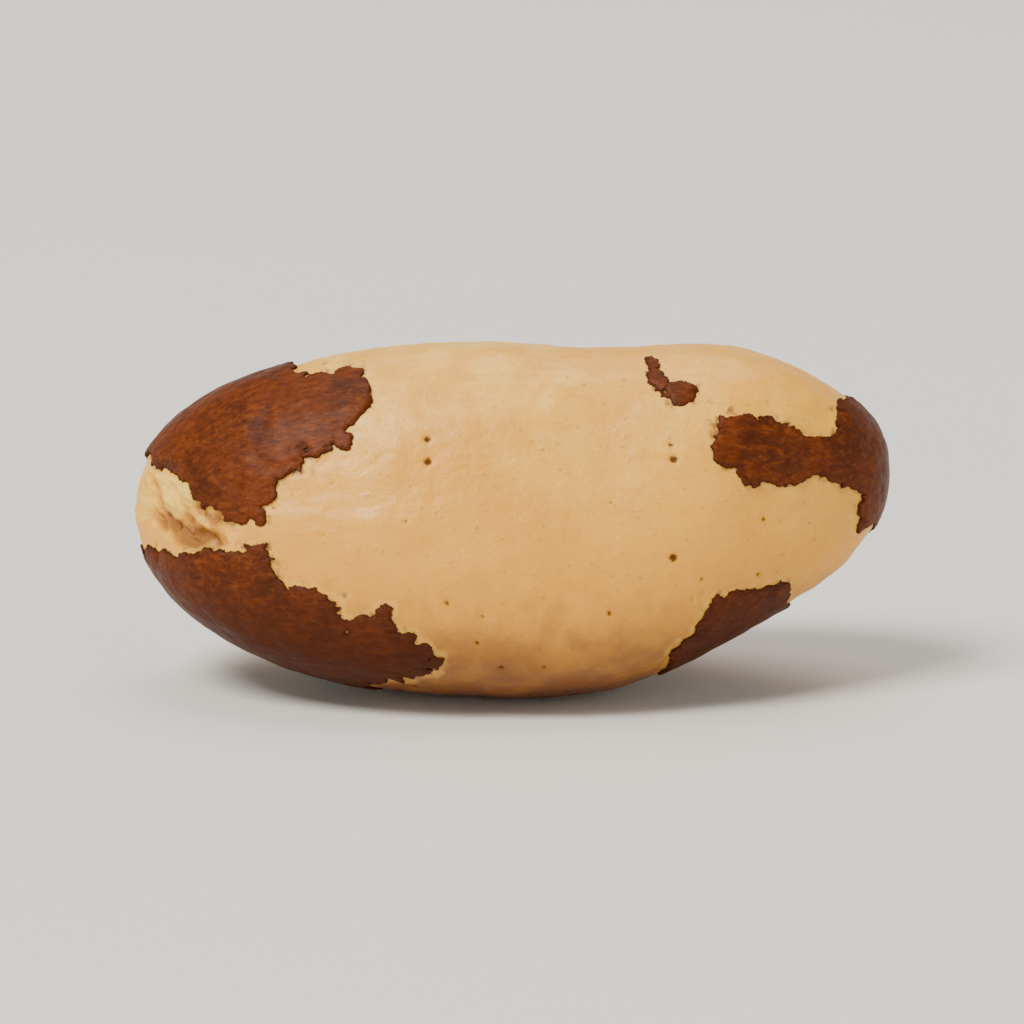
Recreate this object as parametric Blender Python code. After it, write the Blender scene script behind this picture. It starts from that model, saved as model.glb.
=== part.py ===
"""A shelled brazil nut kernel, lying on one of its long faces.

The kernel is one seed, grown as one piece: solid cream flesh with torn remnants of its
reddish-brown seed coat, which stand a little proud of the flesh. Three long faces meet in three
rounded edges, one end is blunt and the other tapers and turns up a little.

+X runs along the nut towards its tapered end, the broad front face looks along -Y and slightly
up, and +Z is up. The origin is on the surface that the nut lies on, under the middle of its box.
"""

import math

import bmesh
import bpy
from mathutils import Vector, noise

MM = 0.001

# Driving dimensions
HALF_LENGTH = 17.75 * MM
FACE_DISTANCE = 7.32 * MM  # from the long axis out to the middle of each long face
WIDTH_STRETCH = 1.08  # the section is a little wider than it is tall
FLAT_DEPTH = 0.16 * MM  # how much the resting spot takes off the convex lower face
SKIN_THICKNESS = 0.28 * MM

# The section: three faces, each named by the way it looks, round from +Y towards +Z
FRONT_FACE = math.radians(157)
BACK_FACE = math.radians(33)
LOWER_FACE = math.radians(270)
EDGE_SHARPNESS = 6.0
ROUNDNESS_MIDDLE = 0.24  # 1 is a circle, 0 a triangle with tight edges
ROUNDNESS_ENDS = 0.5

# Along the nut: -1 is the blunt end and +1 the tapered end
TAPER = 0.065
TAPERED_END = 0.78  # above 1 draws an end out to a point, below 1 rounds it off
BLUNT_END = 0.88
TWIST = math.radians(-19)  # the section rolls forward towards the tapered end
TWIST_START = 0.18
SAG = 1.0 * MM  # both ends lift over the middle by this
END_LIFT = 1.7 * MM  # and the tapered end by this much more
LIFT_START = 0.2
LIFT_END = 0.73
SIDE_BOW = 0.7 * MM

# Relief of the flesh
SWELL = 0.22 * MM
SWELL_LENGTH = 9.0 * MM
SWELL_GIRTH = 6.0 * MM
CHIP_CENTRE = Vector((-16.6, -2.4, 1.4)) * MM  # flesh broken away at the blunt tip
CHIP_RADIUS = 2.8 * MM
CHIP_FLOOR = 0.4  # the share of its radius where the chip is at its full depth
CHIP_DEPTH = 0.45 * MM
END_LEAN = 0.45  # relief rises along the outward direction with its lengthwise share cut to this

# Torn edges of the skin
TEAR_SIZE = 1.5 * MM
TEAR_DEPTH = 0.75 * MM
TEAR_ROUGHNESS = 0.7  # the lower, the more the small tears show beside the large ones
TEAR_LEVELS = 3
SKIN_EDGE_WIDTH = 0.45 * MM

# The patches are outlined on a plane that looks at the nut from slightly above
OUTLINE_TILT = math.radians(12)
OUTLINE_MIDDLE = 0.52 * MM  # the middle of the nut as seen, above its long axis

# Each patch: its outline in millimetres, right and up from the middle of the nut as seen from
# the front, and how deep it reaches, from front to back
PATCHES = {
    "upper_left": {
        "outline": (
            (-12.6, 10.5), (-12.0, 7.6), (-9.6, 7.1), (-6.9, 7.1), (-6.5, 5.8), (-7.4, 4.8), (-7.7, 3.5),
            (-9.6, 3.2), (-9.8, 2.1), (-10.8, 1.2), (-11.4, 0.2), (-12.9, -0.2), (-13.8, 0.0),
            (-14.8, 1.0), (-16.2, 2.3), (-17.4, 2.8), (-21.0, 3.4), (-21.0, 10.5),
        ),
        "depth": (-12.0, 4.2),
    },
    "lower_left": {
        "outline": (
            (-21.0, -1.6), (-15.4, -1.5), (-12.1, -1.3), (-11.2, -3.0), (-9.4, -3.0), (-8.3, -3.7),
            (-7.8, -4.7), (-5.8, -4.4), (-5.4, -5.6), (-3.2, -6.8), (-6.5, -7.4), (-7.0, -10.5),
            (-21.0, -10.5),
        ),
        "depth": (-12.0, 2.6),
    },
    "upper_sliver": {
        "outline": ((5.9, 7.7), (6.8, 7.4), (8.8, 6.0), (8.5, 5.3), (7.1, 5.9), (6.3, 6.7)),
        "depth": (-12.0, 1.2),
    },
    "right_end": {
        "outline": (
            (9.6, 5.0), (12.0, 4.4), (15.2, 3.9), (15.7, 5.6), (21.0, 7.5), (21.0, 0.0), (16.7, -0.3),
            (16.3, 1.0), (15.3, 1.6), (14.0, 1.8), (12.7, 1.3), (11.4, 1.6), (9.6, 2.7),
        ),
        "depth": (-12.0, 3.4),
    },
    "lower_right": {
        "outline": (
            (7.2, -6.2), (8.4, -5.3), (9.1, -4.2), (9.6, -3.4), (11.4, -3.2), (12.9, -2.8), (13.2, -3.8),
            (14.0, -6.0), (11.0, -9.5), (7.0, -9.5),
        ),
        "depth": (-12.0, 1.5),
    },
    "back_broad": {
        "outline": (
            (-7.5, 6.0), (-2.0, 6.6), (1.6, 4.6), (6.8, 3.4), (7.6, 0.2), (3.8, -1.6), (0.8, -1.2),
            (-1.2, -3.9), (-6.9, -4.4), (-9.2, -0.8),
        ),
        "depth": (2.0, 12.0),
    },
    "back_tip": {
        "outline": ((-21.0, 1.4), (-14.6, 1.8), (-12.8, -1.0), (-14.0, -3.6), (-21.0, -6.0)),
        "depth": (2.0, 12.0),
    },
    "back_island": {
        "outline": ((10.0, 0.6), (13.2, 0.9), (14.4, -1.4), (11.6, -3.0), (9.6, -1.4)),
        "depth": (2.0, 12.0),
    },
}

# Mesh
CELLS_ALONG = 46
CELLS_ROUND = 22
END_SPREAD = 1.3  # above 1 gives the two ends finer cells
LEVEL = 1e-6  # an edge of the cube that runs less than this along X lies across it

# Materials
FLESH_COLOUR = (0.72, 0.49, 0.24, 1.0)
FLESH_ROUGHNESS = 0.42
SKIN_COLOUR = (0.13, 0.028, 0.008, 1.0)
SKIN_ROUGHNESS = 0.36


def smooth_step(low, high, value):
    """Rises from 0 at low to 1 at high, with no corner at either end."""
    share = min(max((value - low) / (high - low), 0.0), 1.0)
    return share * share * (3.0 - 2.0 * share)


def section_radius(angle, roundness):
    """Distance from a section's middle to its edge, where each face is 1 away."""
    reach = roundness
    for face in (FRONT_FACE, BACK_FACE, LOWER_FACE):
        reach += (1.0 - roundness) * max(math.cos(angle - face), 0.0) ** EDGE_SHARPNESS
    return reach ** (-1.0 / EDGE_SHARPNESS)


def bare_body(direction):
    """Point of the plain three-sided body that lies this way from its middle."""
    along = direction.x
    girth = math.hypot(direction.y, direction.z)
    angle = math.atan2(direction.z, direction.y)
    twist = TWIST * smooth_step(TWIST_START, 1.0, along)
    lift = END_LIFT * smooth_step(LIFT_START, LIFT_END, along)
    roundness = ROUNDNESS_MIDDLE + (ROUNDNESS_ENDS - ROUNDNESS_MIDDLE) * along**4
    fullness = girth ** (TAPERED_END if along > 0 else BLUNT_END)
    radius = FACE_DISTANCE * fullness * (1.0 - TAPER * along) * section_radius(angle + twist, roundness)
    return Vector((
        HALF_LENGTH * along,
        WIDTH_STRETCH * radius * math.cos(angle) + SIDE_BOW * along**2,
        radius * math.sin(angle) + SAG * along**2 + lift,
    ))


def swell(point):
    """Shallow waves of the flesh, longer along the nut than round it."""
    stretched = Vector((point.x / SWELL_LENGTH, point.y / SWELL_GIRTH, point.z / SWELL_GIRTH))
    return SWELL * noise.noise(stretched)


def chip(point):
    """How far the broken blunt tip sinks in."""
    reach = (point - CHIP_CENTRE).length / CHIP_RADIUS
    return CHIP_DEPTH * (1.0 - smooth_step(CHIP_FLOOR, 1.0, reach))


def distance_inside(outline, right, up):
    """Distance to a closed outline: positive inside it and negative outside."""
    nearest = math.inf
    inside = False
    for index, (x1, y1) in enumerate(outline):
        x0, y0 = outline[index - 1]
        run_x, run_y = x1 - x0, y1 - y0
        share = ((right - x0) * run_x + (up - y0) * run_y) / (run_x**2 + run_y**2)
        share = min(max(share, 0.0), 1.0)
        nearest = min(nearest, math.hypot(right - x0 - share * run_x, up - y0 - share * run_y))
        if (y0 > up) != (y1 > up) and right < x0 + (up - y0) / run_y * run_x:
            inside = not inside
    return nearest if inside else -nearest


def skin_margin(point):
    """Distance inside the nearest patch of skin, negative on bare flesh, with torn edges."""
    right = point.x / MM
    seen_height = point.z * math.cos(OUTLINE_TILT) + point.y * math.sin(OUTLINE_TILT)
    up = (seen_height - OUTLINE_MIDDLE) / MM
    depth = point.y / MM
    margin = -math.inf
    for patch in PATCHES.values():
        front, back = patch["depth"]
        edge = distance_inside(patch["outline"], right, up)
        margin = max(margin, min(edge, back - depth, depth - front))
    tear = noise.fractal(point / TEAR_SIZE, TEAR_ROUGHNESS, 2.0, TEAR_LEVELS)
    return margin * MM + TEAR_DEPTH * tear


def kernel_surface(direction):
    """Point of the finished surface, and whether skin covers it."""
    point = bare_body(direction)
    outward = Vector((END_LEAN * direction.x, direction.y, direction.z)).normalized()
    margin = skin_margin(point)
    raised = SKIN_THICKNESS * smooth_step(0.0, SKIN_EDGE_WIDTH, margin)
    return point + outward * (swell(point) - chip(point) + raised), margin > 0.0


def make_material(name, colour, roughness):
    """A Principled material of one colour."""
    material = bpy.data.materials.new(name)
    material.use_nodes = True
    shader = material.node_tree.nodes["Principled BSDF"]
    shader.inputs["Base Color"].default_value = colour
    shader.inputs["Roughness"].default_value = roughness
    shader.inputs["Metallic"].default_value = 0.0
    return material


def length_along_x(edge):
    """How far an edge runs along X."""
    return abs(edge.verts[0].co.x - edge.verts[1].co.x)


def gridded_cube():
    """A cube of side 2 whose faces are grids, with more cells along X than round it."""
    mesh = bmesh.new()
    bmesh.ops.create_cube(mesh, size=2.0)
    lengthwise = [edge for edge in mesh.edges if length_along_x(edge) > LEVEL]
    bmesh.ops.subdivide_edges(mesh, edges=lengthwise, cuts=CELLS_ALONG - 1)
    crosswise = [edge for edge in mesh.edges if length_along_x(edge) <= LEVEL]
    bmesh.ops.subdivide_edges(mesh, edges=crosswise, cuts=CELLS_ROUND - 1, use_grid_fill=True)
    return mesh


def extent(values):
    """The least and the greatest of the values."""
    found = list(values)
    return min(found), max(found)


def rest_on_flat_spot(mesh):
    """Flattens the lowest of the lower face, and moves the origin there, under the box's middle."""
    level = min(vertex.co.z for vertex in mesh.verts) + FLAT_DEPTH
    for vertex in mesh.verts:
        vertex.co.z = max(vertex.co.z, level)
    middle_x = sum(extent(vertex.co.x for vertex in mesh.verts)) / 2.0
    middle_y = sum(extent(vertex.co.y for vertex in mesh.verts)) / 2.0
    bmesh.ops.translate(mesh, vec=(-middle_x, -middle_y, -level), verts=mesh.verts[:])


def make_kernel(collection):
    """The kernel as one closed mesh, set down on its resting spot."""
    mesh = gridded_cube()
    covered = {}
    for vertex in mesh.verts:
        spread = Vector([math.tan(value * math.pi / 4.0) for value in vertex.co])
        spread.x *= END_SPREAD
        vertex.co, covered[vertex] = kernel_surface(spread.normalized())
    rest_on_flat_spot(mesh)
    for face in mesh.faces:
        face.smooth = True
        face.material_index = int(all(covered[vertex] for vertex in face.verts))
    bmesh.ops.triangulate(mesh, faces=mesh.faces[:])
    data = bpy.data.meshes.new("kernel")
    mesh.to_mesh(data)
    mesh.free()
    data.materials.append(make_material("kernel_flesh", FLESH_COLOUR, FLESH_ROUGHNESS))
    data.materials.append(make_material("kernel_skin", SKIN_COLOUR, SKIN_ROUGHNESS))
    kernel = bpy.data.objects.new("kernel", data)
    collection.objects.link(kernel)
    return kernel


def main():
    for old in list(bpy.data.objects):
        bpy.data.objects.remove(old)
    collection = bpy.data.collections.new("brazil_nut")
    bpy.context.scene.collection.children.link(collection)
    make_kernel(collection)


main()
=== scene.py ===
"""The finish of a shelled brazil nut kernel: pale oily flesh and the torn remnants of its seed coat.

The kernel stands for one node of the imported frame. Its flesh is one fine mesh, and the remnants
of the seed coat are thin torn shells that lie on it. Everything is in metres, in the frame's axes.
"""

import logging
import math
from collections.abc import Callable
from dataclasses import dataclass, field
from enum import Enum

import bmesh
import bpy
import numpy as np
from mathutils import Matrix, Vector, noise


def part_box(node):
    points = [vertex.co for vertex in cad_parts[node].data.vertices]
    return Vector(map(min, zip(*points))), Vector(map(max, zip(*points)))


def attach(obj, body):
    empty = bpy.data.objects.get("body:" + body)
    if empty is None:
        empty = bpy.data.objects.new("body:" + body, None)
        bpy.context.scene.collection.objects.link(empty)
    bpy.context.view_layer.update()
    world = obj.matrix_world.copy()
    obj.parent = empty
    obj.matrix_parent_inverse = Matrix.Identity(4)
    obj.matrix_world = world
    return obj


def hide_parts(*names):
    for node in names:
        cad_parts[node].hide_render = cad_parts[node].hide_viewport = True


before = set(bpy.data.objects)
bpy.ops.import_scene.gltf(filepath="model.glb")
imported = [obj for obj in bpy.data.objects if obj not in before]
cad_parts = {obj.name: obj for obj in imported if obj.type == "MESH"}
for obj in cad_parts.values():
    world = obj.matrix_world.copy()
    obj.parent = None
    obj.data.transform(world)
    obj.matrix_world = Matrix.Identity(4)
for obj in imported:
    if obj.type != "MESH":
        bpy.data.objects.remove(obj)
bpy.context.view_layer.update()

MM = 0.001
NODE = "kernel"
BODY = "root"

TOUCHING = 1e-6
OUTWARD = ("out_x", "out_y", "out_z")

Triple = tuple[float, float, float]
Colour = tuple[float, float, float, float]
Socket = bpy.types.NodeSocket
Input = Socket | float | Triple | Colour

log = logging.getLogger("brazil_nut")


class Slot(Enum):
    """The record's material slots."""

    FLESH = "flesh"
    SKIN = "skin"


class End(Enum):
    """The kernel's two ends."""

    BLUNT = "blunt_end"
    TAPERED = "tapered_end"


def smooth_step(low: float, high: float, values: np.ndarray) -> np.ndarray:
    """Rise from 0 at low to 1 at high, with no corner at either end, for each value."""
    share = np.clip((values - low) / (high - low), 0.0, 1.0)
    return share * share * (3.0 - 2.0 * share)


def sample(points: np.ndarray, size: Triple | float, read: Callable[[Vector], float]) -> np.ndarray:
    """Read a pattern with lumps of size 1 at each point, where its lumps have a size in metres."""
    scaled = points / np.array(size)
    return np.fromiter((read(Vector(row)) for row in scaled.tolist()), float, len(scaled))


def fractal(points: np.ndarray, size: Triple | float, roughness: float, levels: int) -> np.ndarray:
    """Noise of several levels, each with lumps half as large, which show more at a low roughness."""
    return sample(points, size, lambda place: noise.fractal(place, roughness, 2.0, levels))


def waves(points: np.ndarray, size: Triple) -> np.ndarray:
    """Smooth noise of one size, about -1 to 1 at each point."""
    return sample(points, size, noise.noise)


def crumbs(points: np.ndarray, size: float) -> np.ndarray:
    """Rounded crumbs of one size: 0.5 at a crumb's middle and about -0.5 in the deepest crease."""
    return 0.5 - sample(points, size, lambda place: noise.voronoi(place)[0][0])


@dataclass(frozen=True)
class Grid:
    """A cube of side 2 whose faces are fine grids, from which the kernel's meshes start."""

    cells_along: int = 216
    cells_round: int = 92
    end_spread: float = 1.3
    least_run: float = 1e-4

    def mesh(self) -> bmesh.types.BMesh:
        """Cut a cube into cells.

        Returns:
            The gridded cube.
        """
        grid = bmesh.new()
        bmesh.ops.create_cube(grid, size=2.0)
        lengthwise = [edge for edge in grid.edges if self.run(edge) > self.least_run]
        bmesh.ops.subdivide_edges(grid, edges=lengthwise, cuts=self.cells_along - 1)
        crosswise = [edge for edge in grid.edges if self.run(edge) <= self.least_run]
        bmesh.ops.subdivide_edges(grid, edges=crosswise, cuts=self.cells_round - 1, use_grid_fill=True)
        return grid

    def directions(self, grid: bmesh.types.BMesh) -> np.ndarray:
        """Turn the cube's vertices into evenly spread directions from the kernel's middle.

        Args:
            grid: The gridded cube.

        Returns:
            One unit direction a row, in the order of the vertices.
        """
        spread = np.tan(np.array([vertex.co[:] for vertex in grid.verts]) * math.pi / 4.0)
        spread[:, 0] *= self.end_spread
        return spread / np.linalg.norm(spread, axis=1)[:, None]

    @staticmethod
    def run(edge: bmesh.types.BMEdge) -> float:
        """How far an edge runs along X."""
        return abs(edge.verts[0].co.x - edge.verts[1].co.x)


@dataclass(frozen=True)
class KernelForm:
    """The plain three-sided body of the kernel, which its relief and its seed coat start from."""

    half_length: float = 17.75 * MM
    face_distance: float = 7.32 * MM
    width_stretch: float = 1.08
    faces: tuple[float, ...] = (math.radians(157), math.radians(33), math.radians(270))
    edge_sharpness: float = 6.0
    roundness_middle: float = 0.24
    roundness_ends: float = 0.5
    taper: float = 0.065
    tapered_end: float = 0.78
    blunt_end: float = 0.88
    twist: float = math.radians(-19)
    twist_start: float = 0.18
    sag: float = 1.0 * MM
    end_lift: float = 1.7 * MM
    lift_start: float = 0.2
    lift_end: float = 0.73
    side_bow: float = 0.7 * MM
    end_lean: float = 0.45
    flat_depth: float = 0.16 * MM
    outline_tilt: float = math.radians(12)
    outline_middle: float = 0.52 * MM

    def section_reach(self, angles: np.ndarray, roundness: np.ndarray) -> np.ndarray:
        """Distance from a section's middle to its edge, where each face is 1 away.

        Args:
            angles: Directions in the section, from +Y towards +Z.
            roundness: 1 for a circle, 0 for a triangle with tight edges.

        Returns:
            The distance for each direction.
        """
        reach = roundness.copy()
        for face in self.faces:
            reach += (1.0 - roundness) * np.maximum(np.cos(angles - face), 0.0) ** self.edge_sharpness
        return reach ** (-1.0 / self.edge_sharpness)

    def points(self, directions: np.ndarray) -> np.ndarray:
        """The body's surface.

        Args:
            directions: Unit directions from the middle, one a row.

        Returns:
            The point of the surface for each direction.
        """
        along = directions[:, 0]
        girth = np.hypot(directions[:, 1], directions[:, 2])
        angles = np.arctan2(directions[:, 2], directions[:, 1])
        twist = self.twist * smooth_step(self.twist_start, 1.0, along)
        lift = self.end_lift * smooth_step(self.lift_start, self.lift_end, along)
        roundness = self.roundness_middle + (self.roundness_ends - self.roundness_middle) * along**4
        fullness = girth ** np.where(along > 0, self.tapered_end, self.blunt_end)
        radius = self.face_distance * fullness * (1.0 - self.taper * along)
        radius = radius * self.section_reach(angles + twist, roundness)
        return np.column_stack((
            self.half_length * along,
            self.width_stretch * radius * np.cos(angles) + self.side_bow * along**2,
            radius * np.sin(angles) + self.sag * along**2 + lift,
        ))

    def outward(self, directions: np.ndarray) -> np.ndarray:
        """The way that the relief rises, as a unit vector for each direction from the middle."""
        leaning = directions * np.array((self.end_lean, 1.0, 1.0))
        return leaning / np.linalg.norm(leaning, axis=1)[:, None]

    def seen(self, points: np.ndarray) -> np.ndarray:
        """How far right, up and deep each point shows on the outlines' plane, in millimetres."""
        up = points[:, 2] * math.cos(self.outline_tilt) + points[:, 1] * math.sin(self.outline_tilt)
        return np.column_stack((points[:, 0], up - self.outline_middle, points[:, 1])) / MM


@dataclass(frozen=True)
class Patch:
    """One remnant of the seed coat, as an outline that is pushed through the kernel from the front.

    The outline is in millimetres, right and up from the kernel's middle as seen from the front, and
    the depth says how far from front to back the remnant reaches.
    """

    outline: tuple[tuple[float, float], ...]
    depth: tuple[float, float]

    def margin(self, seen: np.ndarray) -> np.ndarray:
        """Distance inside the remnant.

        Args:
            seen: Places on the outlines' plane with their depth, in millimetres.

        Returns:
            The distance in millimetres, negative outside.
        """
        right, up, depth = seen.T
        nearest = np.full(len(seen), np.inf)
        inside = np.zeros(len(seen), bool)
        for index, (x1, y1) in enumerate(self.outline):
            x0, y0 = self.outline[index - 1]
            run_x, run_y = x1 - x0, y1 - y0
            share = ((right - x0) * run_x + (up - y0) * run_y) / (run_x**2 + run_y**2)
            share = np.clip(share, 0.0, 1.0)
            nearest = np.minimum(nearest, np.hypot(right - x0 - share * run_x, up - y0 - share * run_y))
            if y0 != y1:
                crossed = ((y0 > up) != (y1 > up)) & (right < x0 + (up - y0) / run_y * run_x)
                inside ^= crossed
        edge = np.where(inside, nearest, -nearest)
        return np.minimum(edge, np.minimum(self.depth[1] - depth, depth - self.depth[0]))


PATCHES: dict[str, Patch] = {
    "upper_left": Patch(
        (
            (-12.6, 10.5), (-12.0, 7.6), (-9.6, 7.1), (-6.9, 7.1), (-6.5, 5.8), (-7.4, 4.8), (-7.7, 3.5),
            (-9.6, 3.2), (-9.8, 2.3), (-10.7, 1.7), (-11.4, 0.9), (-11.7, 0.1), (-12.5, -0.1), (-13.3, 0.2),
            (-13.8, 0.7), (-14.6, 1.0), (-15.6, 1.7), (-16.6, 2.7), (-17.4, 3.1), (-21.0, 3.6),
            (-21.0, 10.5),
        ),
        (-12.0, 4.2),
    ),
    "lower_left": Patch(
        (
            (-21.0, -1.6), (-15.4, -1.5), (-11.5, -1.2), (-10.4, -3.0), (-9.1, -2.8), (-8.3, -3.4),
            (-7.6, -5.1), (-6.9, -4.4), (-5.6, -4.1), (-5.5, -5.1), (-4.6, -5.5), (-3.3, -6.5),
            (-4.0, -7.3), (-6.5, -7.6), (-7.0, -10.5), (-21.0, -10.5),
        ),
        (-12.0, 2.6),
    ),
    "upper_sliver": Patch(
        (
            (6.3, 7.5), (6.8, 7.4), (7.2, 7.0), (7.9, 6.6), (8.5, 6.1), (8.3, 5.8), (7.7, 5.7),
            (6.9, 5.8), (6.4, 6.7),
        ),
        (-12.0, 1.2),
    ),
    "right_end": Patch(
        (
            (9.4, 5.4), (11.0, 4.8), (12.0, 4.5), (15.2, 4.1), (15.7, 5.6), (21.0, 7.5), (21.0, 0.0),
            (16.7, -0.3), (16.3, 1.2), (15.3, 1.8), (14.0, 2.0), (12.7, 1.5), (11.4, 1.8), (9.6, 2.9),
        ),
        (-12.0, 3.4),
    ),
    "lower_right": Patch(
        (
            (7.2, -6.2), (8.4, -5.3), (9.1, -4.2), (9.6, -3.4), (11.4, -3.2), (12.9, -2.8), (13.2, -3.8),
            (14.0, -6.0), (11.0, -9.5), (7.0, -9.5),
        ),
        (-12.0, 1.5),
    ),
    "back_broad": Patch(
        (
            (-7.5, 6.0), (-2.0, 6.6), (1.6, 4.6), (6.8, 3.4), (7.6, 0.2), (3.8, -1.6), (0.8, -1.2),
            (-1.2, -3.9), (-6.9, -4.4), (-9.2, -0.8),
        ),
        (2.0, 12.0),
    ),
    "back_tip": Patch(
        ((-21.0, 1.4), (-14.6, 1.8), (-12.8, -1.0), (-14.0, -3.6), (-21.0, -6.0)),
        (2.0, 12.0),
    ),
    "back_island": Patch(
        ((10.0, 0.6), (13.2, 0.9), (14.4, -1.4), (11.6, -3.0), (9.6, -1.4)),
        (2.0, 12.0),
    ),
}


@dataclass(frozen=True)
class Tearing:
    """How the edges of the seed coat are torn: large tears, rounded flakes along them, and fine teeth."""

    tear_size: float = 1.5 * MM
    tear_depth: float = 0.32 * MM
    tear_roughness: float = 0.7
    tear_levels: int = 3
    flake_size: float = 1.05 * MM
    flake_depth: float = 0.6 * MM
    tooth_size: Triple = (0.46 * MM, 0.34 * MM, 0.34 * MM)
    tooth_depth: float = 0.16 * MM
    tooth_roughness: float = 0.45
    tooth_levels: int = 4
    reach: float = 1.8 * MM

    def margin(self, form: KernelForm, points: np.ndarray) -> np.ndarray:
        """Distance inside the seed coat.

        Args:
            form: The body that the outlines are measured on.
            points: Places on its surface, one a row.

        Returns:
            The distance in metres, negative on bare flesh.
        """
        seen = form.seen(points)
        margin = np.full(len(points), -np.inf)
        for patch in PATCHES.values():
            margin = np.maximum(margin, patch.margin(seen))
        margin *= MM
        near = np.flatnonzero(np.abs(margin) < self.reach)
        rows = points[near]
        tears = fractal(rows, self.tear_size, self.tear_roughness, self.tear_levels)
        margin[near] += self.tear_depth * tears
        margin[near] += self.flake_depth * crumbs(rows, self.flake_size)
        teeth = fractal(rows, self.tooth_size, self.tooth_roughness, self.tooth_levels)
        margin[near] += self.tooth_depth * teeth
        return margin


@dataclass(frozen=True)
class Pores:
    """Dark pinholes in the flesh: the main ones where they show from the front, and faint ones all over.

    A main pore is a place right and up from the kernel's middle as seen from the front, in
    millimetres, and how strong it is.
    """

    main: tuple[Triple, ...] = (
        (-3.9, 3.9, 0.85), (-3.9, 2.8, 1.0), (7.6, 2.9, 1.0), (7.6, -1.7, 1.0), (4.6, -4.3, 0.6),
        (-0.5, -6.8, 0.7), (1.6, -6.8, 0.45), (4.7, 0.9, 0.4), (-8.3, 1.8, 0.35), (-1.3, -4.4, 0.4),
        (8.4, -3.6, 0.35), (3.1, 4.4, 0.3),
    )
    faint: int = 130
    weakest: float = 0.12
    strongest: float = 0.75
    rarity: int = 3
    seed: int = 7
    radius: float = 0.17 * MM
    narrowest: float = 0.55
    depth: float = 0.17 * MM

    def darkness(self, form: KernelForm, points: np.ndarray, outward: np.ndarray) -> np.ndarray:
        """How far into a pore each point of the surface lies.

        Args:
            form: The body that the main pores are placed on.
            points: Places on its surface, one a row.
            outward: The way out of the surface at each.

        Returns:
            0 outside the pores and up to 1 at the bottom of a strong one.
        """
        seen = form.seen(points)
        behind = np.where(outward[:, 1] < 0.0, 0.0, np.inf)
        centres = [
            (points[np.argmin(np.hypot(seen[:, 0] - right, seen[:, 1] - up) + behind)], strength)
            for right, up, strength in self.main
        ]
        draw = np.random.default_rng(self.seed)
        picked = draw.choice(len(points), self.faint, replace=False)
        strengths = self.weakest + (self.strongest - self.weakest) * draw.random(self.faint) ** self.rarity
        centres += list(zip(points[picked], strengths))
        deepest = np.zeros(len(points))
        for centre, strength in centres:
            radius = self.radius * (self.narrowest + (1.0 - self.narrowest) * strength)
            reach = np.linalg.norm(points - centre, axis=1) / radius
            deepest = np.maximum(deepest, strength * np.exp(-(reach**2)))
        return deepest


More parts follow.
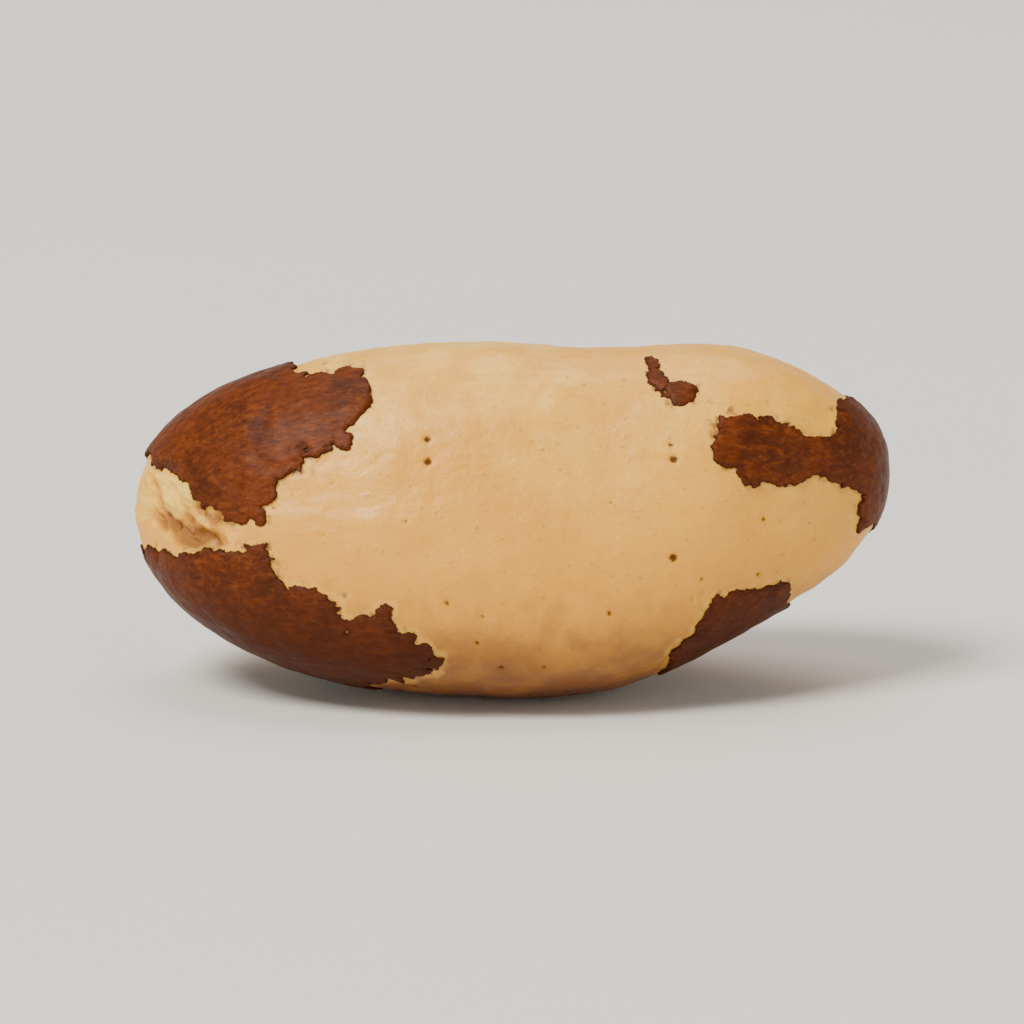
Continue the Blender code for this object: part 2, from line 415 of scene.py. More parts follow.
@dataclass(frozen=True)
class FleshRelief:
    """What the flesh's surface does beyond the plain body: waves, grain, dents, pores and the broken tip."""

    swell_height: float = 0.22 * MM
    swell_size: Triple = (9.0 * MM, 6.0 * MM, 6.0 * MM)
    grain_height: float = 0.02 * MM
    grain_size: Triple = (3.5 * MM, 0.6 * MM, 0.6 * MM)
    dent_depth: float = 0.17 * MM
    dent_size: Triple = (3.4 * MM, 2.2 * MM, 2.2 * MM)
    dent_rim: float = 0.12
    pit_depth: float = 0.06 * MM
    pit_size: Triple = (0.8 * MM, 0.6 * MM, 0.6 * MM)
    scrape_height: float = 0.03 * MM
    scrape_size: Triple = (0.9 * MM, 3.5 * MM, 3.5 * MM)
    chip_centre: Triple = (-16.6 * MM, -2.4 * MM, 1.4 * MM)
    chip_radius: float = 2.8 * MM
    chip_floor: float = 0.4
    chip_depth: float = 0.45 * MM
    break_middle: tuple[float, float] = (-15.6, 0.5)
    break_reach: tuple[float, float] = (3.5, 1.9)
    break_turn: float = math.radians(-24)
    break_core: float = 0.72
    break_front: float = -1.6
    break_back: float = 0.9
    lump_height: float = 0.7 * MM
    lump_size: float = 1.9 * MM
    lump_roughness: float = 0.75
    lump_levels: int = 4
    lump_run: Triple = (0.75, -0.5, -0.43)
    lump_stretch: float = 1.8
    crumb_height: float = 0.34 * MM
    crumb_size: float = 0.85 * MM

    def chipped(self, points: np.ndarray) -> np.ndarray:
        """How far into the broken tip each point lies: 0 outside the break and 1 at its floor."""
        reach = np.linalg.norm(points - np.array(self.chip_centre), axis=1) / self.chip_radius
        return 1.0 - smooth_step(self.chip_floor, 1.0, reach)

    def main_height(self, points: np.ndarray) -> np.ndarray:
        """The height of the large relief above the plain body, which the seed coat follows too."""
        return self.swell_height * waves(points, self.swell_size) - self.chip_depth * self.chipped(points)

    def broken(self, form: KernelForm, points: np.ndarray) -> np.ndarray:
        """How far inside the crumbled part of the tip each point lies.

        Args:
            form: The body that the break is placed on.
            points: Places on its surface, one a row.

        Returns:
            0 outside it and 1 well inside.
        """
        right, up, depth = form.seen(points).T
        right = right - self.break_middle[0]
        up = up - self.break_middle[1]
        along = right * math.cos(self.break_turn) + up * math.sin(self.break_turn)
        across = up * math.cos(self.break_turn) - right * math.sin(self.break_turn)
        reach = np.hypot(along / self.break_reach[0], across / self.break_reach[1])
        behind = smooth_step(self.break_front, self.break_back, depth)
        return (1.0 - smooth_step(self.break_core, 1.0, reach)) * (1.0 - behind)

    def crevices(self, points: np.ndarray, broken: np.ndarray) -> np.ndarray:
        """The lumps and crumbs of the broken tip, as a share of a lump's height.

        Args:
            points: Places on the plain body, one a row.
            broken: How far inside the break each lies.

        Returns:
            Above 0 on a crumb, below 0 in a crevice, and 0 outside the break.
        """
        inside = np.flatnonzero(broken > 0.0)
        rows = points[inside]
        run = np.array(self.lump_run)
        rows = rows - np.outer(rows @ run, run) * (1.0 - 1.0 / self.lump_stretch)
        heights = np.zeros(len(points))
        heights[inside] = fractal(rows, self.lump_size, self.lump_roughness, self.lump_levels)
        heights[inside] += self.crumb_height / self.lump_height * crumbs(rows, self.crumb_size)
        return heights * broken

    def fine_height(self, points: np.ndarray, crevices: np.ndarray) -> np.ndarray:
        """The small relief of bare flesh, apart from its pores.

        Args:
            points: Places on the plain body, one a row.
            crevices: The crumbs of the broken tip at each.

        Returns:
            The height above the large relief for each.
        """
        grain = self.grain_height * waves(points, self.grain_size)
        dents = self.dent_depth * np.minimum(waves(points, self.dent_size), self.dent_rim)
        pits = self.pit_depth * np.minimum(waves(points, self.pit_size), 0.0)
        scrapes = self.scrape_height * waves(points, self.scrape_size)
        return grain + dents + pits + scrapes + self.lump_height * crevices


@dataclass(frozen=True)
class Layout:
    """The kernel's surface at the vertices of a gridded cube, one row or value a vertex.

    It holds the plain body, the way out of it, the distance inside the seed coat, and the body with
    its large relief.
    """

    body: np.ndarray
    outward: np.ndarray
    margin: np.ndarray
    main: np.ndarray


@dataclass
class Surface:
    """The kernel's surface: its plain body, its relief and where skin covers it."""

    form: KernelForm = field(default_factory=KernelForm)
    relief: FleshRelief = field(default_factory=FleshRelief)
    tearing: Tearing = field(default_factory=Tearing)
    pores: Pores = field(default_factory=Pores)
    grid: Grid = field(default_factory=Grid)
    skin_depth: float = 0.28 * MM
    plain: Layout = field(init=False)
    level: float = field(init=False)
    shift: np.ndarray = field(init=False)

    def lay_out(self, mesh: bmesh.types.BMesh) -> Layout:
        """Work out the surface at every vertex of a gridded cube.

        Args:
            mesh: The cube.

        Returns:
            The surface.
        """
        directions = self.grid.directions(mesh)
        body = self.form.points(directions)
        outward = self.form.outward(directions)
        main = body + outward * self.relief.main_height(body)[:, None]
        return Layout(body, outward, self.tearing.margin(self.form, body), main)

    def measure(self) -> None:
        """Work out the surface on the plain grid, and how it comes to stand in the frame."""
        mesh = self.grid.mesh()
        self.plain = self.lay_out(mesh)
        mesh.free()
        raised = self.skin_depth * (self.plain.margin > 0.0)
        outer = self.plain.main + self.plain.outward * raised[:, None]
        low, high = (np.array(corner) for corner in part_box(NODE))
        self.level = outer[:, 2].min() + self.form.flat_depth
        middle = (outer.min(axis=0) + outer.max(axis=0)) / 2.0
        self.shift = (low + high) / 2.0 - middle
        self.shift[2] = low[2] - self.level

    def settle(self, points: np.ndarray, clearance: np.ndarray | float = 0.0) -> np.ndarray:
        """Flatten what the kernel rests on, and set it down in the frame.

        Args:
            points: Places round the kernel's middle, one a row.
            clearance: How far above the floor the flattened part stays.

        Returns:
            The same places in the frame.
        """
        settled = points.copy()
        settled[:, 2] = np.maximum(settled[:, 2], self.level + clearance)
        return settled + self.shift


@dataclass(frozen=True)
class Pattern:
    """Cloudy noise: its lumps a millimetre, how many finer sizes it has and how strong, and its warp.

    The stretch is how much faster it runs along each axis.
    """

    scale: float
    detail: float = 3.0
    rough: float = 0.5
    warp: float = 0.0
    stretch: Triple = (1.0, 1.0, 1.0)


@dataclass(frozen=True)
class Ramp:
    """A smooth change from start to end while a value goes from low to high, held at both ends.

    A value that is a place or a distance is in millimetres.
    """

    low: float
    high: float
    start: float = 0.0
    end: float = 1.0


@dataclass(frozen=True)
class Relief:
    """Relief in the shading: its depth in metres, and how much of it shows."""

    depth: float
    strength: float


class FinishBoard:
    """Lays out the shader nodes of one material."""

    def __init__(self, name: str) -> None:
        """Start a material with its Principled shader.

        Args:
            name: The material's name.
        """
        self.material = bpy.data.materials.new(name)
        self.material.use_nodes = True
        self.tree = self.material.node_tree
        self.shader = self.tree.nodes["Principled BSDF"]

    def node(self, kind: str, inputs: dict[str | int, Input], **settings: object) -> bpy.types.Node:
        """Add a node.

        Args:
            kind: The node's type name.
            inputs: What goes into it, by the inputs' names or numbers.
            settings: Properties set on it.

        Returns:
            The node.
        """
        made = self.tree.nodes.new(kind)
        for name, value in settings.items():
            setattr(made, name, value)
        self.fill(made, inputs)
        return made

    def fill(self, node: bpy.types.Node, inputs: dict[str | int, Input]) -> None:
        """Link what goes into a node, or set it where it is a plain value.

        Args:
            node: The node.
            inputs: What goes into it, by the inputs' names or numbers.
        """
        for name, value in inputs.items():
            if isinstance(value, Socket):
                self.tree.links.new(value, node.inputs[name])
            else:
                node.inputs[name].default_value = value

    def complete(self, inputs: dict[str | int, Input]) -> bpy.types.Material:
        """Give the Principled shader its inputs, and hand over the finished material."""
        self.fill(self.shader, inputs)
        return self.material

    def place(self, stretch: Triple = (1.0, 1.0, 1.0)) -> Socket:
        """Object coordinates in millimetres, stretched.

        Args:
            stretch: How much faster a pattern runs along each axis.

        Returns:
            The coordinates.
        """
        inputs = {
            "Vector": self.node("ShaderNodeTexCoord", {}).outputs["Object"],
            "Scale": tuple(value / MM for value in stretch),
        }
        return self.node("ShaderNodeMapping", inputs).outputs["Vector"]

    def reading(self, axis: str) -> Socket:
        """Where a point lies along one of the frame's axes, in millimetres."""
        return self.node("ShaderNodeSeparateXYZ", {0: self.place()}).outputs[axis]

    def attribute(self, name: str) -> Socket:
        """A number that the mesh carries."""
        return self.node("ShaderNodeAttribute", {}, attribute_name=name).outputs["Fac"]

    def noise(self, pattern: Pattern) -> Socket:
        """Cloudy noise.

        Args:
            pattern: What it is like.

        Returns:
            About 0.2 to 0.8.
        """
        inputs = {
            "Vector": self.place(pattern.stretch),
            "Scale": pattern.scale,
            "Detail": pattern.detail,
            "Roughness": pattern.rough,
            "Distortion": pattern.warp,
        }
        return self.node("ShaderNodeTexNoise", inputs).outputs["Fac"]

    def cells(self, scale: float) -> Socket:
        """Distance from the nearest of scattered points, of which the scale says how many a millimetre."""
        texture = self.node("ShaderNodeTexVoronoi", {"Vector": self.place(), "Scale": scale})
        return texture.outputs["Distance"]

    def rise(self, value: Socket, ramp: Ramp) -> Socket:
        """Map a value smoothly.

        Args:
            value: What is mapped.
            ramp: How it is mapped.

        Returns:
            The mapped value.
        """
        inputs = {
            "Value": value,
            "From Min": ramp.low,
            "From Max": ramp.high,
            "To Min": ramp.start,
            "To Max": ramp.end,
        }
        return self.node("ShaderNodeMapRange", inputs, interpolation_type="SMOOTHSTEP").outputs["Result"]

    def reckon(self, operation: str, first: Socket, second: Socket) -> Socket:
        """One step of arithmetic with two numbers, by Blender's name for it."""
        return self.node("ShaderNodeMath", {0: first, 1: second}, operation=operation).outputs[0]

    def blend(self, share: Socket, first: Input, second: Input) -> Socket:
        """Mix two colours, with a share of the second."""
        # The node has inputs for numbers and vectors too, and its colours are the 7th and the 8th.
        return self.node("ShaderNodeMix", {0: share, 6: first, 7: second}, data_type="RGBA").outputs[2]

    def tint(self, under: Input, paint: Colour, value: Socket, ramp: Ramp) -> Socket:
        """Lay a paint over a colour, as thickly as a ramp says for a value."""
        return self.blend(self.rise(value, ramp), under, paint)

    def bump(self, height: Socket, relief: Relief, under: Socket | None = None) -> Socket:
        """Fine relief in the shading.

        Args:
            height: Where it is high and low.
            relief: What it is like.
            under: Coarser relief that it sits on.

        Returns:
            The changed normal.
        """
        inputs = {"Height": height, "Distance": relief.depth, "Strength": relief.strength}
        if under is not None:
            inputs["Normal"] = under
        return self.node("ShaderNodeBump", inputs).outputs["Normal"]


@dataclass(frozen=True)
class FleshFinish:
    """Cream flesh: mottled, faintly streaked along its length and oily.

    Towards the underside and the tapered end it turns golden, partly in its own tone and partly as painted
    shade. Painted shade also darkens its lowest part and the broken tip's crevices, and the tip's crumb
    tops are painted lighter.
    """

    cream: Colour = (0.86, 0.435, 0.042, 1.0)
    pale: Colour = (0.92, 0.53, 0.09, 1.0)
    golden: Colour = (0.76, 0.335, 0.022, 1.0)
    # Brown for the painted shade on the flesh's lowest part, and for its darker grains.
    shade_and_grain_brown: Colour = (0.165, 0.050, 0.008, 1.0)
    speck: Colour = (0.40, 0.19, 0.05, 1.0)
    residue: Colour = (0.20, 0.06, 0.014, 1.0)
    pore: Colour = (0.10, 0.029, 0.010, 1.0)
    broken_flesh: Colour = (0.92, 0.57, 0.085, 1.0)
    # Dark brown painted shade in the crevices of the broken tip.
    crevice_shade: Colour = (0.20, 0.062, 0.010, 1.0)
    clouds: Pattern = Pattern(0.16, 2.0)
    mottles: Pattern = Pattern(0.62, 3.0, 0.55, 0.5)
    streaks: Pattern = Pattern(1.0, 3.0, 0.6, stretch=(0.3, 2.0, 2.0))
    fine: Pattern = Pattern(3.4, 2.0, 0.6)
    blots: Pattern = Pattern(1.4, 2.0, 0.65)
    raggedness: Pattern = Pattern(7.0, 2.0, 0.6)
    specks_per_mm: float = 1.35
    cream_mottles: Ramp = Ramp(0.38, 0.64)
    golden_clouds: Ramp = Ramp(0.40, 0.64, 0.0, 0.65)
    # Golden towards the underside, partly the flesh's own tone and partly painted shade.
    golden_and_shade_low: Ramp = Ramp(5.0, 16.0, 0.95, 0.0)
    # Golden towards the tapered end, partly the flesh's own tone and partly painted shade.
    golden_and_shade_tapered_end: Ramp = Ramp(3.0, 17.0, 0.0, 0.6)
    golden_streaks: Ramp = Ramp(0.52, 0.74, 0.0, 0.55)
    # Painted shade: the flesh turns dark brown towards its lowest part.
    painted_underside_shade: Ramp = Ramp(0.6, 7.2, 1.0, 0.0)
    brown_grains: Ramp = Ramp(0.60, 0.78, 0.0, 0.25)
    uneven_height: Ramp = Ramp(0.3, 0.7, -0.6, 0.6)
    speck_spots: Ramp = Ramp(0.06, 0.17, 0.6, 0.0)
    speck_groups: Ramp = Ramp(0.4, 0.6)
    # Painted light and shade on the broken tip: crumb tops lighter, low parts golden, crevice floors dark.
    crumb_light_and_shade: Ramp = Ramp(-0.28, 0.16)
    painted_crevice_shade: Ramp = Ramp(-0.6, -0.08, 0.8, 0.0)
    # Painted highlight: a pale rim on the bare flesh along the seed coat's torn edges.
    painted_rim_highlight: Ramp = Ramp(-0.4, -0.12, 0.0, 0.35)
    residue_edge: Ramp = Ramp(-0.5, -0.05, 0.0, 0.8)
    residue_blots: Ramp = Ramp(0.52, 0.66)
    pore_rim: Ramp = Ramp(0.3, 0.7, -0.07, 0.07)
    pore_stain: Ramp = Ramp(0.09, 0.58, 0.0, 0.95)
    roughness: Ramp = Ramp(0.3, 0.7, 0.38, 0.52)
    broken_roughness: Ramp = Ramp(0.0, 1.0, 0.0, 0.15)
    sheen: Ramp = Ramp(0.08, 0.35, 0.36, 0.05)
    oil: Ramp = Ramp(0.08, 0.35, 0.1, 0.0)
    oil_roughness: float = 0.25
    glow: float = 0.25
    glow_depth: float = 0.6 * MM
    glow_colour: Triple = (1.0, 0.45, 0.15)
    streak_relief: Relief = Relief(0.045 * MM, 0.8)
    fine_relief: Relief = Relief(0.055 * MM, 0.9)
    broken_relief: Ramp = Ramp(0.0, 1.0, 1.0, 3.0)

    def material(self) -> bpy.types.Material:
        """Make the flesh's material.

        Returns:
            The material.
        """
        board = FinishBoard("brazil_nut_flesh")
        mottles, streaks, fine = map(board.noise, (self.mottles, self.streaks, self.fine))
        margin, broken, crevices = map(board.attribute, ("margin", "broken", "crevices"))
        height = board.reckon("ADD", board.reading("Z"), board.rise(mottles, self.uneven_height))
        colour = board.tint(self.pale, self.cream, mottles, self.cream_mottles)
        colour = board.tint(colour, self.golden, board.noise(self.clouds), self.golden_clouds)
        # Golden towards the underside: partly the flesh's own tone, partly painted shade.
        colour = board.tint(colour, self.golden, height, self.golden_and_shade_low)
        # Golden towards the tapered end: partly the flesh's own tone, partly painted shade.
        colour = board.tint(colour, self.golden, board.reading("X"), self.golden_and_shade_tapered_end)
        colour = board.tint(colour, self.golden, streaks, self.golden_streaks)
        # Painted shade: the flesh darkens to brown towards its lowest part.
        colour = board.tint(colour, self.shade_and_grain_brown, height, self.painted_underside_shade)
        spots = board.rise(board.cells(self.specks_per_mm), self.speck_spots)
        specks = board.reckon("MULTIPLY", spots, board.rise(fine, self.speck_groups))
        colour = board.blend(specks, colour, self.speck)
        colour = board.tint(colour, self.shade_and_grain_brown, fine, self.brown_grains)
        # Painted light and shade on the broken tip: lighter crumb tops, golden low parts, dark crevice
        # floors.
        crumb_tone_and_shade = board.tint(self.golden, self.broken_flesh, crevices, self.crumb_light_and_shade)
        colour = board.blend(broken, colour, crumb_tone_and_shade)
        colour = board.tint(colour, self.crevice_shade, crevices, self.painted_crevice_shade)
        # Painted highlight: a pale rim on the bare flesh along the seed coat's torn edges.
        colour = board.tint(colour, self.pale, margin, self.painted_rim_highlight)
        blots = board.rise(board.noise(self.blots), self.residue_blots)
        residue = board.reckon("MULTIPLY", board.rise(margin, self.residue_edge), blots)
        colour = board.blend(residue, colour, self.residue)
        rim = board.rise(board.noise(self.raggedness), self.pore_rim)
        pore = board.reckon("ADD", board.attribute("pore"), rim)
        broken_roughness = board.rise(broken, self.broken_roughness)
        grains = board.reckon("MULTIPLY", fine, board.rise(broken, self.broken_relief))
        return board.complete({
            "Base Color": board.tint(colour, self.pore, pore, self.pore_stain),
            "Roughness": board.reckon("ADD", board.rise(mottles, self.roughness), broken_roughness),
            "Specular IOR Level": board.rise(pore, self.sheen),
            "Coat Weight": board.rise(pore, self.oil),
            "Coat Roughness": self.oil_roughness,
            "Subsurface Weight": self.glow,
            "Subsurface Radius": self.glow_colour,
            "Subsurface Scale": self.glow_depth,
            "Normal": board.bump(grains, self.fine_relief, board.bump(streaks, self.streak_relief)),
        })


@dataclass(frozen=True)
class SkinFinish:
    """Reddish-brown seed coat: matt to satin, fibrous along the kernel, mottled and flecked.

    Painted shade darkens it towards the bottom.
    """

    dark: Colour = (0.042, 0.0075, 0.001, 1.0)
    middle: Colour = (0.115, 0.0225, 0.0022, 1.0)
    bright: Colour = (0.19, 0.042, 0.005, 1.0)
    fleck: Colour = (0.26, 0.068, 0.010, 1.0)
    torn: Colour = (0.045, 0.0085, 0.0015, 1.0)
    fibres: Pattern = Pattern(1.0, 3.0, 0.62, stretch=(0.6, 2.6, 2.6))
    blotches: Pattern = Pattern(0.42, 3.0, 0.55, 0.5)
    grain: Pattern = Pattern(4.2, 3.0, 0.72, stretch=(0.42, 1.0, 1.0))
    middle_blotches: Ramp = Ramp(0.32, 0.62, 0.3, 1.0)
    bright_fibres: Ramp = Ramp(0.46, 0.76, 0.0, 0.6)
    dark_grain: Ramp = Ramp(0.36, 0.52, 0.5, 0.0)
    fleck_grain: Ramp = Ramp(0.52, 0.72, 0.0, 0.38)
    # Painted shade: the seed coat darkens towards the bottom.
    painted_shade_low: Ramp = Ramp(2.0, 8.5, 0.76, 0.0)
    torn_edge: Ramp = Ramp(0.0, 0.16, 0.7, 0.0)
    roughness: Ramp = Ramp(0.3, 0.7, 0.42, 0.6)
    sheen: float = 0.11
    oil: float = 0.035
    oil_roughness: float = 0.22
    fibre_relief: Relief = Relief(0.08 * MM, 0.9)
    grain_relief: Relief = Relief(0.07 * MM, 1.0)

    def material(self) -> bpy.types.Material:
        """Make the seed coat's material.

        Returns:
            The material.
        """
        board = FinishBoard("brazil_nut_skin")
        fibres, blotches, grain = map(board.noise, (self.fibres, self.blotches, self.grain))
        colour = board.tint(self.dark, self.middle, blotches, self.middle_blotches)
        colour = board.tint(colour, self.bright, fibres, self.bright_fibres)
        colour = board.tint(colour, self.dark, grain, self.dark_grain)
        colour = board.tint(colour, self.fleck, grain, self.fleck_grain)
        # Painted shade: the seed coat darkens towards the bottom.
        colour = board.tint(colour, self.dark, board.reading("Z"), self.painted_shade_low)
        return board.complete({
            "Base Color": board.tint(colour, self.torn, board.attribute("margin"), self.torn_edge),
            "Roughness": board.rise(blotches, self.roughness),
            "Specular IOR Level": self.sheen,
            "Coat Weight": self.oil,
            "Coat Roughness": self.oil_roughness,
            "Normal": board.bump(grain, self.grain_relief, board.bump(fibres, self.fibre_relief)),
        })


@dataclass(frozen=True)
class FloorFinish:
    """Plain pale matt floor."""

    pale: Colour = (0.80, 0.79, 0.77, 1.0)
    shade: Colour = (0.776, 0.7663, 0.7469, 1.0)
    clouds: Pattern = Pattern(0.02, 2.0)
    roughness: float = 0.75

    def material(self) -> bpy.types.Material:
        """Make the floor's material.

        Returns:
            The material.
        """
        board = FinishBoard("studio_floor")
        colour = board.blend(board.noise(self.clouds), self.pale, self.shade)
        return board.complete({"Base Color": colour, "Roughness": self.roughness})


def carry(mesh: bmesh.types.BMesh, name: str, values: np.ndarray) -> None:
    """Give a mesh a number at each vertex, for its material to read.

    Args:
        mesh: The mesh.
        name: The number's name.
        values: One for each vertex, in order.
    """
    layer = mesh.verts.layers.float.new(name)
    for vertex, value in zip(mesh.verts, values.tolist()):
        vertex[layer] = value


def move_to(mesh: bmesh.types.BMesh, points: np.ndarray) -> None:
    """Move each vertex of a mesh to its place, which is a row of the points."""
    for vertex, place in zip(mesh.verts, points.tolist()):
        vertex.co = place


def make_object(mesh: bmesh.types.BMesh, name: str, material: bpy.types.Material) -> bpy.types.Object:
    """Turn a finished mesh into a smooth object of the scene.

    Args:
        mesh: The mesh, which is freed.
        name: The object's name.
        material: Its material.

    Returns:
        The object.
    """
    for face in mesh.faces:
        face.smooth = True
    data = bpy.data.meshes.new(name)
    mesh.to_mesh(data)
    mesh.free()
    data.materials.append(material)
    made = bpy.data.objects.new(name, data)
    bpy.context.scene.collection.objects.link(made)
    return made


def dress(piece: bpy.types.Object, crease: float) -> bpy.types.Object:
    """Make an object a piece that rides on the kernel's body.

    Args:
        piece: The object.
        crease: The angle past which an edge is shaded sharp.

    Returns:
        The piece.
    """
    piece.data.set_sharp_from_angle(angle=crease)
    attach(piece, BODY)
    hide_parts(NODE)
    return piece


@dataclass
class Flesh:
    """The solid flesh of the kernel."""

    surface: Surface
    finish: FleshFinish = field(default_factory=FleshFinish)
    fade: float = 0.1 * MM
    tuck: float = 0.03 * MM
    crease: float = math.radians(70)

    def build(self) -> bpy.types.Object:
        """Model the flesh.

        Returns:
            The piece.
        """
        surface = self.surface
        body, outward, margin = surface.plain.body, surface.plain.outward, surface.plain.margin
        mesh = surface.grid.mesh()
        bare = 1.0 - smooth_step(-self.fade, self.fade, margin)
        broken = surface.relief.broken(surface.form, body)
        crevices = surface.relief.crevices(body, broken)
        pore = surface.pores.darkness(surface.form, body, outward)
        fine = surface.relief.fine_height(body, crevices) - surface.pores.depth * pore
        points = surface.plain.main + outward * (fine * bare)[:, None]
        move_to(mesh, surface.settle(points, self.tuck * (margin > 0.0)))
        carry(mesh, "margin", margin / MM)
        carry(mesh, "pore", pore * bare)
        carry(mesh, "broken", broken)
        carry(mesh, "crevices", crevices)
        return dress(make_object(mesh, "flesh", self.finish.material()), self.crease)


@dataclass
class SeedCoat:
    """The torn remnants of the seed coat, as thin closed shells that lie on the flesh."""

    surface: Surface
    finish: SkinFinish = field(default_factory=SkinFinish)
    edge_height: float = 0.09 * MM
    full_height: float = 0.17 * MM
    edge_width: float = 0.22 * MM
    sunk: float = 0.07 * MM
    curl: float = 0.05 * MM
    curl_width: float = 0.4 * MM
    curl_size: Triple = (2.4 * MM, 1.6 * MM, 1.6 * MM)
    curl_crest: float = 0.4
    fibre: float = 0.035 * MM
    fibre_size: Triple = (2.6 * MM, 0.5 * MM, 0.5 * MM)
    wrinkle: float = 0.04 * MM
    wrinkle_size: Triple = (0.9 * MM, 0.6 * MM, 0.6 * MM)
    wrinkle_rim: float = 0.2
    fine_band: float = 0.32 * MM
    least_faces: int = 30
    crease: float = math.radians(50)

    def build(self) -> list[bpy.types.Object]:
        """Model the remnants.

        Returns:
            A piece for those nearer to each end.
        """
        mesh = self.surface.grid.mesh()
        self.refine(mesh)
        layout = self.surface.lay_out(mesh)
        move_to(mesh, layout.main)
        carry(mesh, "margin", layout.margin / MM)
        for name, column in zip(OUTWARD, layout.outward.T):
            carry(mesh, name, column)
        self.cut_out(mesh)
        self.drop_scraps(mesh)
        material = self.finish.material()
        pieces = []
        for end in End:
            remnants = mesh.copy()
            self.keep(remnants, end)
            self.thicken(remnants)
            piece = make_object(remnants, f"seed_coat_{end.value}", material)
            pieces.append(dress(piece, self.crease))
        mesh.free()
        return pieces

    def refine(self, mesh: bmesh.types.BMesh) -> None:
        """Halve the grid's cells along the torn edges.

        Args:
            mesh: The gridded cube.
        """
        near = np.abs(self.surface.plain.margin) < self.fine_band
        mesh.verts.index_update()
        edges = [edge for edge in mesh.edges if all(near[vertex.index] for vertex in edge.verts)]
        bmesh.ops.subdivide_edges(mesh, edges=edges, cuts=1, use_grid_fill=True)

    def cut_out(self, mesh: bmesh.types.BMesh) -> None:
        """Cut the mesh along the torn edges, keep what the skin covers, and open where two edges touch.

        Args:
            mesh: The whole surface, with its margin at each vertex.
        """
        layers = mesh.verts.layers.float
        margin = layers["margin"]
        outs = [layers[name] for name in OUTWARD]
        bare = [face for face in mesh.faces if all(vertex[margin] <= 0.0 for vertex in face.verts)]
        bmesh.ops.delete(mesh, geom=bare, context="FACES")
        cut = []
        for edge in list(mesh.edges):
            first, second = edge.verts
            before, after = first[margin], second[margin]
            if before * after < 0.0:
                share = before / (before - after)
                ways = [first[out] * (1.0 - share) + second[out] * share for out in outs]
                _, new = bmesh.utils.edge_split(edge, first, share)
                new[margin] = 0.0
                for out, way in zip(outs, ways):
                    new[out] = way
                cut.append(new)
        bmesh.ops.connect_verts(mesh, verts=cut)
        outside = [face for face in mesh.faces if sum(vertex[margin] for vertex in face.verts) <= 0.0]
        bmesh.ops.delete(mesh, geom=outside, context="FACES")
        bmesh.ops.dissolve_degenerate(mesh, dist=TOUCHING, edges=mesh.edges[:])
        while pinched := [vertex for vertex in mesh.verts if self.is_pinched(vertex)]:
            bmesh.ops.delete(mesh, geom=pinched, context="VERTS")

    @staticmethod
    def is_pinched(vertex: bmesh.types.BMVert) -> bool:
        """Whether torn edges meet at a vertex, so that no wall could close round it."""
        return sum(edge.is_boundary for edge in vertex.link_edges) > 2

    @staticmethod
    def islands(mesh: bmesh.types.BMesh) -> list[list[bmesh.types.BMFace]]:
        """Find the remnants.

        Args:
            mesh: The cut-out skin.

        Returns:
            The faces of each.
        """
        waiting = set(mesh.faces)
        found = []
        for first in mesh.faces:
            if first not in waiting:
                continue
            waiting.remove(first)
            island = [first]
            for face in island:
                for edge in face.edges:
                    for other in edge.link_faces:
                        if other in waiting:
                            waiting.remove(other)
                            island.append(other)
            found.append(island)
        return found

    def drop_scraps(self, mesh: bmesh.types.BMesh) -> None:
        """Remove the smallest remnants of the cut-out skin."""
        scraps = [face for island in self.islands(mesh) if len(island) < self.least_faces for face in island]
        bmesh.ops.delete(mesh, geom=scraps, context="FACES")

    def keep(self, mesh: bmesh.types.BMesh, end: End) -> None:
        """Remove the remnants that lie nearer to the other end.

        Args:
            mesh: The cut-out skin.
            end: The end whose remnants stay.
        """
        others = []
        for island in self.islands(mesh):
            middle = sum(face.calc_center_median().x for face in island)
            if (middle > 0.0) != (end is End.TAPERED):
                others += island
        bmesh.ops.delete(mesh, geom=others, context="FACES")

    def heights(self, points: np.ndarray, margin: np.ndarray) -> np.ndarray:
        """How far the outer side stands off the flesh.

        Args:
            points: Places on the flesh, one a row.
            margin: Distance of each from the torn edge.

        Returns:
            The height for each.
        """
        inside = smooth_step(0.0, self.edge_width, margin)
        full = self.edge_height + (self.full_height - self.edge_height) * inside
        lifted = smooth_step(0.0, self.curl_crest, waves(points, self.curl_size))
        lifted = lifted * (1.0 - smooth_step(0.0, self.curl_width, margin))
        wrinkles = self.wrinkle * np.minimum(waves(points, self.wrinkle_size), self.wrinkle_rim)
        return full + self.curl * lifted + self.fibre * waves(points, self.fibre_size) + wrinkles

    def thicken(self, mesh: bmesh.types.BMesh) -> None:
        """Give the cut-out skin an outer and an inner side and a torn wall between them.

        Args:
            mesh: The cut-out skin, at the level of the flesh.
        """
        outer = mesh.verts.layers.float.new("outer")
        raised = bmesh.ops.extrude_face_region(mesh, geom=mesh.faces[:], use_keep_orig=True)["geom"]
        for part in raised:
            if isinstance(part, bmesh.types.BMVert):
                part[outer] = 1.0
        layers = [mesh.verts.layers.float[name] for name in ("outer", "margin", *OUTWARD)]
        table = np.array([[vertex[layer] for layer in layers] for vertex in mesh.verts])
        points = np.array([vertex.co[:] for vertex in mesh.verts])
        outward = table[:, 2:] / np.linalg.norm(table[:, 2:], axis=1)[:, None]
        heights = np.where(table[:, 0] > 0.0, self.heights(points, table[:, 1] * MM), -self.sunk)
        move_to(mesh, self.surface.settle(points + outward * heights[:, None]))
        bmesh.ops.recalc_face_normals(mesh, faces=mesh.faces[:])
        for name in ("outer", *OUTWARD):
            mesh.verts.layers.float.remove(mesh.verts.layers.float[name])


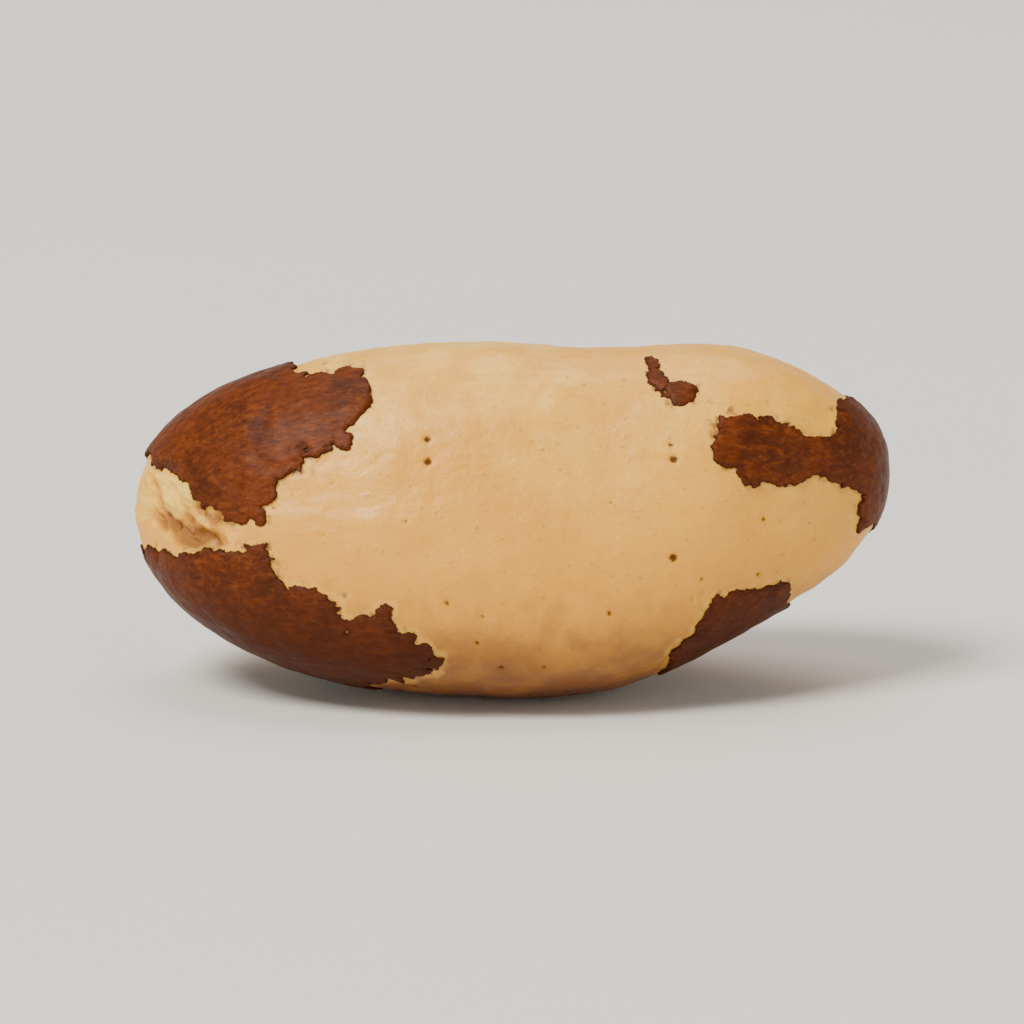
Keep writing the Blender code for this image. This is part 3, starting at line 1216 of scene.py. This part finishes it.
@dataclass(frozen=True)
class Lamp:
    """A soft square light that looks at the kernel, with its power in watts."""

    name: str
    place: Triple
    size: float
    power: float
    colour: Triple

    def hang(self) -> None:
        """Hang the light in its place."""
        data = bpy.data.lights.new(self.name, "AREA")
        data.shape = "SQUARE"
        data.size = self.size
        data.energy = self.power
        data.color = self.colour
        light = bpy.data.objects.new(self.name, data)
        light.location = self.place
        light.rotation_euler = (-Vector(self.place)).to_track_quat("-Z", "Y").to_euler()
        bpy.context.scene.collection.objects.link(light)


@dataclass
class Studio:
    """A pale floor that curves up all round, soft lights, and the camera."""

    finish: FloorFinish = field(default_factory=FloorFinish)
    flat_radius: float = 0.9
    curve_radius: float = 0.5
    wall_height: float = 0.55
    floor_gap: float = 0.02 * MM
    turn_steps: int = 96
    curve_steps: int = 14
    elevation: float = math.radians(12)
    distance: float = 0.36
    shown_width: float = 0.0487
    nearest_shown: float = 0.01
    farthest_shown: float = 20.0
    air_colour: Colour = (1.0, 0.98, 0.95, 1.0)
    air_strength: float = 0.15
    lamps: tuple[Lamp, ...] = (
        Lamp("key", (-0.68, -0.68, 1.32), 0.68, 36.0, (1.0, 0.95, 0.86)),
        Lamp("fill", (0.62, -0.5, 0.36), 0.7, 1.2, (1.0, 0.96, 0.9)),
        Lamp("top", (0.1, 0.7, 1.7), 1.4, 17.6, (1.0, 0.97, 0.92)),
    )

    def floor(self) -> None:
        """Turn the floor's profile round the kernel."""
        mesh = bmesh.new()
        places = [(0.0, -self.floor_gap), (self.flat_radius, -self.floor_gap)]
        for step in range(1, self.curve_steps + 1):
            turn = math.radians(90.0 * step / self.curve_steps)
            places.append((
                self.flat_radius + self.curve_radius * math.sin(turn),
                self.curve_radius * (1.0 - math.cos(turn)),
            ))
        places.append((self.flat_radius + self.curve_radius, self.wall_height))
        profile = [mesh.verts.new((radius, 0.0, height)) for radius, height in places]
        edges = [mesh.edges.new(pair) for pair in zip(profile, profile[1:])]
        bmesh.ops.spin(
            mesh, geom=profile + edges, cent=(0, 0, 0), axis=(0, 0, 1), angle=math.tau,
            steps=self.turn_steps, use_merge=True,
        )
        bmesh.ops.remove_doubles(mesh, verts=mesh.verts[:], dist=TOUCHING)
        bmesh.ops.recalc_face_normals(mesh, faces=mesh.faces[:])
        make_object(mesh, "floor", self.finish.material())

    def lights(self) -> None:
        """Light the kernel softly from the upper left, as in a plain studio."""
        for lamp in self.lamps:
            lamp.hang()
        world = bpy.data.worlds.new("studio_air")
        world.use_nodes = True
        background = world.node_tree.nodes["Background"]
        background.inputs["Color"].default_value = self.air_colour
        background.inputs["Strength"].default_value = self.air_strength
        bpy.context.scene.world = world

    def camera(self, target: Vector) -> None:
        """Set the camera at the photograph's viewing angle.

        Args:
            target: The kernel's middle.
        """
        data = bpy.data.cameras.new("camera")
        data.lens = data.sensor_width * self.distance / self.shown_width
        data.clip_start, data.clip_end = self.nearest_shown, self.farthest_shown
        camera = bpy.data.objects.new("camera", data)
        away = Vector((0.0, -math.cos(self.elevation), math.sin(self.elevation)))
        camera.location = target + away * self.distance
        camera.rotation_euler = (-away).to_track_quat("-Z", "Y").to_euler()
        bpy.context.scene.collection.objects.link(camera)
        bpy.context.scene.camera = camera

    def build(self, target: Vector) -> None:
        """Make the whole studio.

        Args:
            target: The kernel's middle.
        """
        self.floor()
        self.lights()
        self.camera(target)


def main() -> None:
    """Build the kernel's flesh and its seed coat, then the studio round them."""
    logging.basicConfig(level=logging.INFO, format="%(name)s: %(message)s")
    surface = Surface()
    surface.measure()
    for piece in (Flesh(surface).build(), *SeedCoat(surface).build()):
        log.info("built %s with %d faces", piece.name, len(piece.data.polygons))
    low, high = (Vector(corner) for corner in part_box(NODE))
    Studio().build((low + high) / 2.0)
    log.info("studio ready")
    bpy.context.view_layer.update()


if __name__ == "__main__":
    main()
